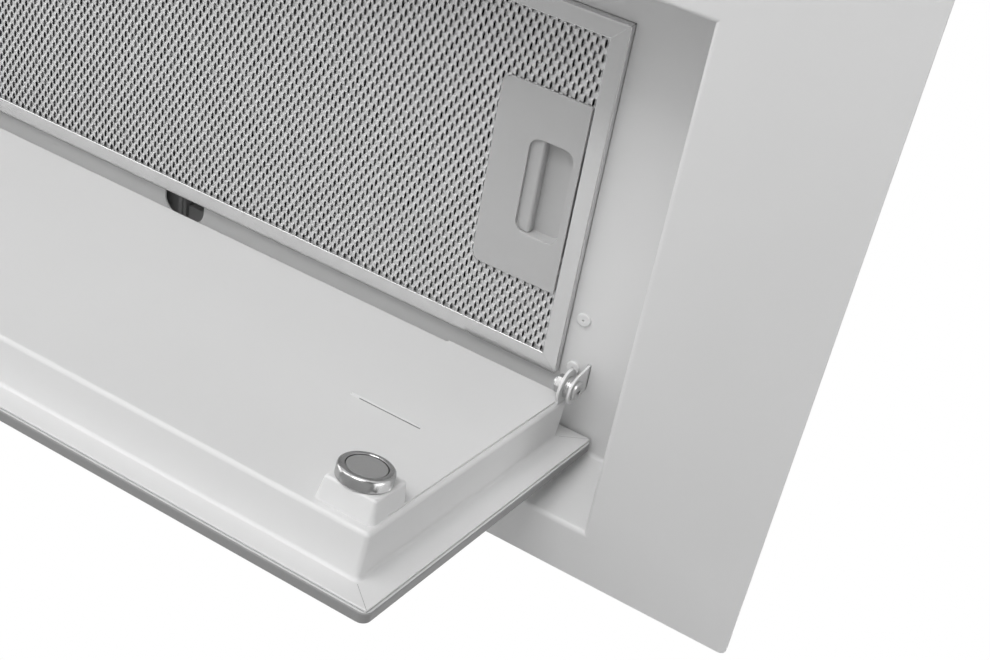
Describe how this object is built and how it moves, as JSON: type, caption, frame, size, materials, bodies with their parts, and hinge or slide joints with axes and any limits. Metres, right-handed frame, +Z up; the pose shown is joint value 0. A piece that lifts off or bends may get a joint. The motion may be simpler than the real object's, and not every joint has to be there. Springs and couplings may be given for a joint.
{
  "type": "built-in range hood",
  "caption": "Built-in cooker hood with a white trim plate, a hinged glass panel over a mesh grease filter, and a boxed blower with a round duct outlet above.",
  "frame": {"origin": "middle of the trim plate on its upper face, which lies against the cabinet's underside", "axes": "+X along the trim plate's length, to the right for someone who stands at the hob; +Y to the rear, where the glass panel is hinged; +Z up, into the cabinet and along the duct outlet"},
  "size_m": [0.6, 0.29, 0.4604],
  "materials": {
    "white_paint": "satin",
    "galvanised": "satin",
    "zinc": "satin",
    "stainless": "satin",
    "mesh": "satin",
    "black_plastic": "matte",
    "grey_moulding": "matte",
    "grey_plastic": "satin",
    "white_plastic": "satin",
    "button_plastic": "satin",
    "frosted_lens": "satin",
    "laminations": "satin",
    "bronze": "satin",
    "rubber": "matte",
    "capacitor_can": "satin",
    "circuit_board": "satin",
    "spring_steel": "satin",
    "glass": "gloss",
    "tape": "matte",
    "chrome": "polished",
    "magnet": "satin",
    "nickel": "polished"
  },
  "bodies": {
    "hood": {"trim_plate": "white_paint", "recess_pan": "white_paint", "base_casing": "galvanised", "casing_rivets": "zinc", "motor_casing": "galvanised", "motor_casing_screws": "zinc", "outlet_collar": "black_plastic", "collar_screws": "zinc", "damper_pins": "zinc", "scroll_right": "grey_moulding", "scroll_left": "grey_moulding", "motor_stator": "laminations", "motor_case": "zinc", "motor_end_cap": "zinc", "motor_bearings": "bronze", "motor_bracket": "zinc", "bracket_rubbers": "rubber", "blower_screws": "zinc", "run_capacitor": "capacitor_can", "control_box": "black_plastic", "control_box_lid": "black_plastic", "lid_screws": "zinc", "circuit_board": "circuit_board", "terminal_block": "white_plastic", "cord_gland": "black_plastic", "led_driver": "white_plastic", "lamp_bezels": "white_plastic", "lamp_lenses": "frosted_lens", "lamp_boards": "circuit_board", "button_board": "circuit_board", "button_housing": "black_plastic", "filter_long_rails": "stainless", "filter_side_rails": "stainless", "filter_front_mesh": "mesh", "filter_core_mesh": "mesh", "filter_back_mesh": "mesh", "filter_handle": "grey_plastic", "filter_tongues": "stainless", "latch_spring": "spring_steel", "hinge_brackets": "white_paint", "hinge_rivets": "white_paint"},
    "panel": {"glass_panel": "glass", "adhesive_tape": "tape", "inner_tray": "white_paint", "panel_brackets": "white_paint", "magnet_pots": "chrome", "magnet_discs": "magnet", "hinge_screws": "nickel", "hinge_washers": "nickel", "hinge_nuts": "nickel"},
    "latch": {"latch_slider": "grey_plastic"},
    "impeller": {"impeller_wheel": "grey_moulding", "motor_shaft": "zinc", "motor_rotor": "laminations"},
    "front_damper": {"damper_flap_front": "black_plastic"},
    "rear_damper": {"damper_flap_rear": "black_plastic"},
    "button_light": {"light_button": "button_plastic"},
    "button_low": {"low_speed_button": "button_plastic"},
    "button_medium": {"medium_speed_button": "button_plastic"},
    "button_high": {"high_speed_button": "button_plastic"}
  },
  "joints": [
    {"name": "panel_hinge", "type": "hinge", "parent": "hood", "child": "panel", "pos_m": [0, 0.08635, 0.033], "axis": [1, 0, 0], "range_deg": [-77.2, 0]},
    {"name": "latch_slide", "type": "slide", "parent": "hood", "child": "latch", "axis": [-1, 0, 0], "range_m": [0, 0.004], "stiffness_N_per_m": 400, "springref_m": -0.003, "deforming": ["latch_spring"]},
    {"name": "impeller_spin", "type": "hinge", "parent": "hood", "child": "impeller", "pos_m": [0, -0.012, 0.165], "axis": [1, 0, 0], "continuous": true},
    {"name": "front_damper_hinge", "type": "hinge", "parent": "hood", "child": "front_damper", "pos_m": [0, 0.0325, 0.3013], "axis": [-1, 0, 0], "range_deg": [0, 75]},
    {"name": "rear_damper_hinge", "type": "hinge", "parent": "hood", "child": "rear_damper", "pos_m": [0, 0.0395, 0.3013], "axis": [1, 0, 0], "range_deg": [0, 75]},
    {"name": "light_press", "type": "slide", "parent": "hood", "child": "button_light", "axis": [0, 0, 1], "range_m": [0, 0.002], "stiffness_N_per_m": 300, "springref_m": -0.002},
    {"name": "low_press", "type": "slide", "parent": "hood", "child": "button_low", "axis": [0, 0, 1], "range_m": [0, 0.002], "stiffness_N_per_m": 300, "springref_m": -0.002},
    {"name": "medium_press", "type": "slide", "parent": "hood", "child": "button_medium", "axis": [0, 0, 1], "range_m": [0, 0.002], "stiffness_N_per_m": 300, "springref_m": -0.002},
    {"name": "high_press", "type": "slide", "parent": "hood", "child": "button_high", "axis": [0, 0, 1], "range_m": [0, 0.002], "stiffness_N_per_m": 300, "springref_m": -0.002}
  ]
}
